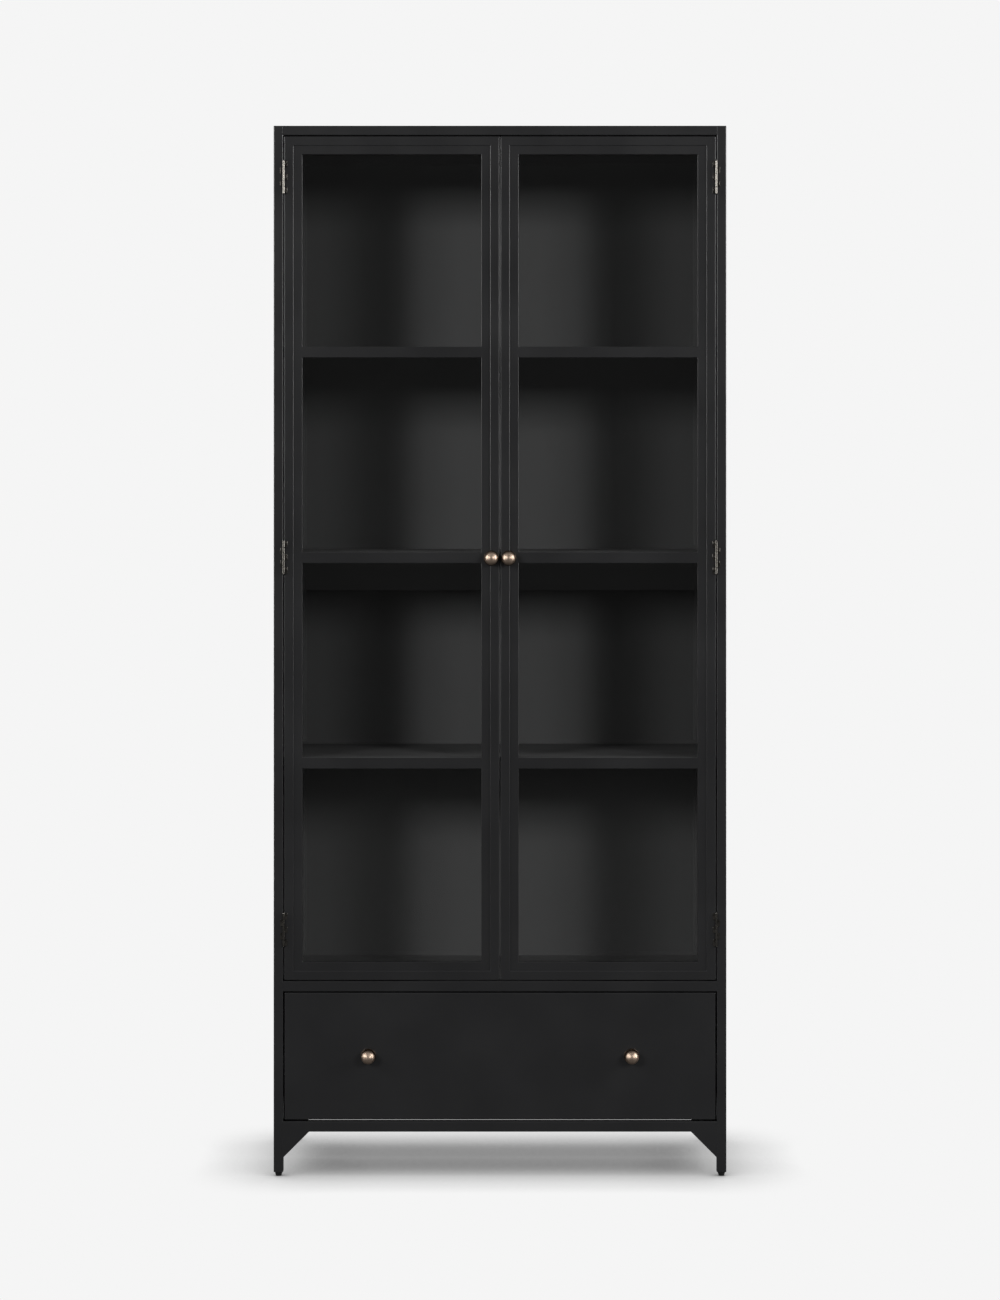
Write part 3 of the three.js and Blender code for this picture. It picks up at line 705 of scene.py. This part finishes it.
clear_glass = float_glass()
epdm = rubber_strip()
screw_head = [
    (TIP, 0.55 * MM), (1.5 * MM, 0.5 * MM), (2.3 * MM, 0.25 * MM),
    (2.6 * MM, 0.0), (2.6 * MM, -0.4 * MM), (TIP, -0.4 * MM),
]
panes = []

for side in ("left", "right"):
    body = f"{side}_door"
    frame_low, frame_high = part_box(f"door_frame_{side}")
    low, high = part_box(f"door_glass_{side}")
    pane = plate(rectangle((low.x, low.z), (high.x, high.z)), "y", low.y, high.y, GROUND_EDGE)
    node = f"door_glass_{side}"
    panes.append(put(f"{side}_door_pane", [pane], clear_glass, body, node))
    seal_low = (TUBE_FACE + SEAL_FROM_TUBE, low.y - SEAL_GAP - SEAL_SHEET)
    seal_high = (TUBE_FACE + BEAD_FACE - SEAL_TO_SIGHT, low.y - SEAL_GAP)
    seal_section = rounded(rectangle(seal_low, seal_high), SEAL_EDGE)
    seal = mitred_ring(frame_low, frame_high, seal_section, 0)
    put(f"{side}_glazing_seal", [seal], epdm, body)
    fold_edges(f"glass_retainer_{side}", RETAINER_FOLD, satin_black)
    keep_low, keep_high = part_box(f"glass_retainer_{side}")
    heads = []
    for z in np.linspace(keep_low.z + SCREW_FROM_END, keep_high.z - SCREW_FROM_END, SCREW_ROWS):
        for x in (keep_low.x + SCREW_FROM_EDGE, keep_high.x - SCREW_FROM_EDGE):
            heads.append(turned(screw_head, (x, keep_high.y, z), "y", 20))
    put(f"{side}_retainer_screws", heads, zinc, body)


# ---------------------------------------------------------------- knobs
# Solid brass balls on a waisted neck, each seated on a thin turned rosette. They are darkened
# chemically and rubbed back, so the crowns are warm and bright and the hollows stay brown.

BALL_RADIUS = 14.1 * MM
BALL_SQUEEZE = 0.86
NECK_RADIUS = 6 * MM
NECK_WAIST = 0.5 * MM
NECK_SPREAD = 2.6 * MM
KNOB_FOOT = 2.4 * MM
KNOB_REACH = 28 * MM
ROSETTE_SINK = 0.3 * MM


def antique_brass(name, dark, bright, gloss):
    """Brass with a brown patina. Rubbing takes it off the front of the ball first, so the colour runs
    from dark beside the door to bright on the crown, broken up by fine blotches and turning lines."""
    material, tree, place = new_material(name)
    blotches = noise(tree, place, 5 * MM, 4.0, 0.65)
    fine = noise(tree, place, 0.8 * MM, 2.0)
    depth = add_node(tree, "ShaderNodeSeparateXYZ", {"Vector": place}).outputs["Y"]
    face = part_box("drawer_knob_left")[1].y
    rubbed = add_node(tree, "ShaderNodeMapRange", {
        "Value": depth, "From Min": face, "From Max": face - KNOB_REACH, "To Min": 0.0, "To Max": 0.6,
    }).outputs["Result"]
    worn = add_node(tree, "ShaderNodeMath", {
        0: blotches, 1: rubbed, 2: 0.25,
    }, operation="MULTIPLY_ADD", use_clamp=True)
    bump = add_node(tree, "ShaderNodeBump", {"Height": fine, "Distance": 0.03 * MM, "Strength": 0.25})
    shader = add_node(tree, "ShaderNodeBsdfPrincipled", {
        "Base Color": blend_colours(tree, worn.outputs[0], dark, bright),
        "Metallic": 1.0,
        "Roughness": between(tree, blotches, *gloss),
        "Normal": bump.outputs["Normal"],
    })
    show(tree, shader.outputs["BSDF"])
    return material


# Warm and half bright on the balls, and a dark brown with a low gloss on the rosettes.
rubbed_brass = antique_brass("antique_brass", "8a7566", "d0bba8", (0.38, 0.48))
dark_brass = antique_brass("dark_patina_brass", "2e2924", "5c5148", (0.34, 0.46))


def knob_profile(reach):
    """(radius, distance from the door) down a knob: a ball squeezed a little along its axis, then a
    neck that narrows by half a sine wave and spreads as the cube of the way down, and a flat foot."""
    half_height = BALL_RADIUS * BALL_SQUEEZE
    join = math.acos(NECK_RADIUS / BALL_RADIUS)
    angles = np.linspace(math.pi / 2 - 0.002, -join, 20)
    crown_height = reach - half_height + half_height * np.sin(angles)
    crown = np.stack([BALL_RADIUS * np.cos(angles), crown_height], 1)
    bottom = crown[-1, 1]
    t = np.linspace(0, 1, 8)[1:]
    waist_radius = NECK_RADIUS - NECK_WAIST * np.sin(math.pi * t) + NECK_SPREAD * t ** 3
    waist = np.stack([waist_radius, bottom + (KNOB_FOOT - bottom) * t], 1)
    return np.concatenate([crown, waist, [(TIP, KNOB_FOOT)]])


def rosette_profile(radius):
    """(radius, distance from the door) of the rosette: a 1.4 mm disc with a rolled rim and a low step
    where the knob's foot sits."""
    roll, roll_height = 0.8 * MM, 1.3 * MM
    step, disc, underside = 2.5 * MM, 1.4 * MM, 0.05 * MM
    turn = np.linspace(0, math.pi, 9)
    rim = [(radius - roll + roll * math.sin(t), roll_height + roll * math.cos(t)) for t in turn]
    return np.array([
        (TIP, step), (9.2 * MM, step), (9.8 * MM, 2.2 * MM), (10.2 * MM, 1.5 * MM),
        (radius - 1.9 * MM, disc), *rim, (radius - 1.2 * MM, underside), (TIP, underside),
    ])


knob_bodies = {
    "door_knob_left": "left_door",
    "door_knob_right": "right_door",
    "drawer_knob_left": "drawer",
    "drawer_knob_right": "drawer",
}
forwards = np.array([1, -1])

for name, body in knob_bodies.items():
    low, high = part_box(name)
    seat = high.y + ROSETTE_SINK
    centre = ((low.x + high.x) / 2, seat, (low.z + high.z) / 2)
    ball = turned(knob_profile(seat - low.y) * forwards, centre, "y", 48)
    rosette = turned(rosette_profile((high.x - low.x) / 2) * forwards, centre, "y", 48)
    put(f"{name}_ball", [ball], rubbed_brass, body, name)
    put(f"{name}_rosette", [rosette], dark_brass, body)


# ---------------------------------------------------------------- drawer
# The front is a pan folded from 1.5 mm sheet. A box of thinner sheet is riveted behind it and hangs
# on zinc-plated telescopic slides.

PAN_SHEET = 1.5 * MM
PAN_FOLD = 1.3 * MM
RIM_EDGE = 0.3 * MM
INSIDE_FOLD = 0.5 * MM
BOX_FOLD = 0.4 * MM
SLIDE_FOLD = 0.25 * MM


def folded_pan(low, high):
    """A shallow pan open to +Y: rings run from the face over the fold, down the sides, round the rim
    and up the inside to the back of the face. The fold is a quarter circle."""
    corners = rectangle((low.x, low.z), (high.x, high.z))
    turn = np.linspace(0, math.pi / 2, 6)
    margin = PAN_FOLD + SHADING_MARGIN
    face_back = low.y + PAN_SHEET
    rows = [(margin, low.y)]
    rows += [(PAN_FOLD * (1 - math.sin(t)), low.y + PAN_FOLD * (1 - math.cos(t))) for t in turn]
    rows += [(0, low.y + margin), (0, high.y - RIM_EDGE), (RIM_EDGE, high.y)]
    rows += [(PAN_SHEET - RIM_EDGE, high.y), (PAN_SHEET, high.y - RIM_EDGE)]
    rows += [(PAN_SHEET, face_back + INSIDE_FOLD), (PAN_SHEET + INSIDE_FOLD, face_back)]
    outlines = [rounded(inset(corners, d), max(1.2 * MM - d / 2, 0.4 * MM)) for d, _ in rows]
    return shell(stations(outlines, "y", [y for _, y in rows]))


low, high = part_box("drawer_front")
put("drawer_front_pan", [folded_pan(low, high)], satin_black, "drawer", "drawer_front")
# The drawer box gets the drier coat, whose greyer colour is painted light.
fold_edges("drawer_box", BOX_FOLD, painted_light_coat)
for side in ("left", "right"):
    for member in ("outer", "middle", "inner"):
        fold_edges(f"slide_{member}_{side}", SLIDE_FOLD, zinc)


# ---------------------------------------------------------------- studio
# A white floor that runs into a white background, with softboxes all round: two in front light the
# doors, one on each side draws the bright edges, and two low ones behind light the back. The camera
# stands a little below eye level.

front_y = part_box("post_front_left")[0].y
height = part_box("top_panel")[1].z
WHITE = linear("f5f5f5")
SURFACE_DEPTH = 0.5
BACKGROUND_DEPTH = 1.5
SHADOW_REACH = 0.2
SHADOW_POWER = 1.55
FLOOR_HALF = 40.0
AIM_HEIGHT = 0.55 * height


def seen_directly(tree, most):
    """1 where a ray from the camera has met nothing but clear glass, and 0 for any other. Glass adds
    as much to the transmission depth as to the ray depth, so the difference between them stays under
    most, which is one more for the background because its ray depth starts at one."""
    path = add_node(tree, "ShaderNodeLightPath").outputs
    other = add_node(tree, "ShaderNodeMath", {
        0: path["Ray Depth"], 1: path["Transmission Depth"],
    }, operation="SUBTRACT").outputs[0]
    few = add_node(tree, "ShaderNodeMath", {0: other, 1: most}, operation="LESS_THAN").outputs[0]
    straight = add_node(tree, "ShaderNodeMath", {
        0: path["Is Camera Ray"], 1: path["Is Transmission Ray"],
    }, operation="ADD").outputs[0]
    return add_node(tree, "ShaderNodeMath", {0: few, 1: straight}, operation="MULTIPLY").outputs[0]


def white_floor():
    """White sweep, lit evenly. It darkens where the cabinet shuts off the light within 20 cm, and to
    the cabinet's gloss it is dim, because the studio in front is kept dark."""
    material, tree, _ = new_material("white_sweep")
    open_sky = add_node(tree, "ShaderNodeAmbientOcclusion", {
        "Distance": SHADOW_REACH,
    }, samples=16).outputs["AO"]
    level = add_node(tree, "ShaderNodeMath", {
        0: open_sky, 1: SHADOW_POWER,
    }, operation="POWER").outputs[0]
    lit = add_node(tree, "ShaderNodeEmission", {"Color": WHITE, "Strength": level})
    dim = add_node(tree, "ShaderNodeBsdfDiffuse", {"Color": linear("606060")})
    mix = add_node(tree, "ShaderNodeMixShader", {
        0: seen_directly(tree, SURFACE_DEPTH), 1: dim.outputs["BSDF"], 2: lit.outputs["Emission"],
    })
    show(tree, mix.outputs["Shader"])
    return material


floor_mesh = bpy.data.meshes.new("studio_floor")
floor_corners = rectangle((-FLOOR_HALF, -FLOOR_HALF), (FLOOR_HALF, FLOOR_HALF))
floor_mesh.from_pydata([(x, y, 0) for x, y in floor_corners], [], [(0, 1, 2, 3)])
floor_mesh.materials.append(white_floor())
floor = bpy.data.objects.new("studio_floor", floor_mesh)
bpy.context.scene.collection.objects.link(floor)

# The room is bright at both sides and dimly overhead, and dark in front and behind.
world = bpy.data.worlds.new("studio_surround")
world.use_nodes = True
bpy.context.scene.world = world
surround = world.node_tree
surround.nodes.clear()
direction = add_node(surround, "ShaderNodeTexCoord").outputs["Generated"]
heading = add_node(surround, "ShaderNodeSeparateXYZ", {0: direction}).outputs
sideways = add_node(surround, "ShaderNodeMath", {0: heading["X"]}, operation="ABSOLUTE").outputs[0]
side_walls = add_node(surround, "ShaderNodeMapRange", {
    "Value": sideways, "From Min": 0.68, "From Max": 0.95, "To Min": 0.07, "To Max": 0.5,
}, interpolation_type="SMOOTHSTEP").outputs["Result"]
ceiling = add_node(surround, "ShaderNodeMapRange", {
    "Value": heading["Z"], "From Min": 0.6, "From Max": 0.95, "To Min": 0.0, "To Max": 0.4,
}, interpolation_type="SMOOTHSTEP").outputs["Result"]
room_light = add_node(surround, "ShaderNodeMath", {
    0: side_walls, 1: ceiling,
}, operation="ADD").outputs[0]
backdrop = add_node(surround, "ShaderNodeBackground", {"Color": WHITE, "Strength": 1.0})
room = add_node(surround, "ShaderNodeBackground", {"Color": WHITE, "Strength": room_light})
either = add_node(surround, "ShaderNodeMixShader", {
    0: seen_directly(surround, BACKGROUND_DEPTH),
    1: room.outputs["Background"],
    2: backdrop.outputs["Background"],
})
add_node(surround, "ShaderNodeOutputWorld", {"Surface": either.outputs["Shader"]})

# The panes don't mirror the softboxes, as if seen through a polarising filter.
no_glare = bpy.data.collections.new("panes_without_glare")
for pane in panes:
    no_glare.objects.link(pane)
for member in no_glare.collection_objects:
    member.light_linking.link_state = "EXCLUDE"


def softbox(name, azimuth, distance, centre_height, size, power):
    """A softbox aimed at the middle of the cabinet, azimuth degrees round from the front."""
    angle = math.radians(azimuth)
    lamp = bpy.data.lights.new(name, "AREA")
    lamp.shape = "RECTANGLE"
    lamp.size, lamp.size_y = size
    lamp.energy = power
    box = bpy.data.objects.new(name, lamp)
    box.location = (distance * math.sin(angle), front_y - distance * math.cos(angle), centre_height)
    aim = Vector((0, front_y, AIM_HEIGHT)) - box.location
    box.rotation_euler = aim.to_track_quat("-Z", "Y").to_euler()
    box.visible_camera = False
    box.light_linking.receiver_collection = no_glare
    bpy.context.scene.collection.objects.link(box)


softbox("left_softbox", -35, 9.0, 3.6, (2.1, 1.9), 295)
softbox("right_softbox", 35, 9.0, 3.6, (2.1, 1.9), 270)
softbox("left_side_softbox", -75, 4.0, 2.4, (1.1, 2.8), 100)
softbox("right_side_softbox", 75, 4.0, 2.4, (1.1, 2.8), 125)
softbox("back_left_softbox", -130, 3.4, 1.3, (0.9, 2.2), 60)
softbox("back_right_softbox", 130, 3.4, 1.3, (0.9, 2.2), 60)

# VIEW_HEIGHT is what the frame takes in at the cabinet's front, and VIEW_MIDDLE the level of its middle.
CAMERA_DISTANCE = 7.0
CAMERA_HEIGHT = 1.45
VIEW_HEIGHT = 1.2374 * height
VIEW_MIDDLE = 0.501 * height

camera_data = bpy.data.cameras.new("camera")
camera_data.sensor_width = 36
camera_data.lens = camera_data.sensor_width * CAMERA_DISTANCE / VIEW_HEIGHT
camera_data.shift_y = (VIEW_MIDDLE - CAMERA_HEIGHT) / VIEW_HEIGHT
camera = bpy.data.objects.new("camera", camera_data)
camera.location = (0, front_y - CAMERA_DISTANCE, CAMERA_HEIGHT)
camera.rotation_euler = (math.pi / 2, 0, 0)
bpy.context.scene.collection.objects.link(camera)
bpy.context.scene.camera = camera
bpy.context.scene.view_settings.view_transform = "Standard"
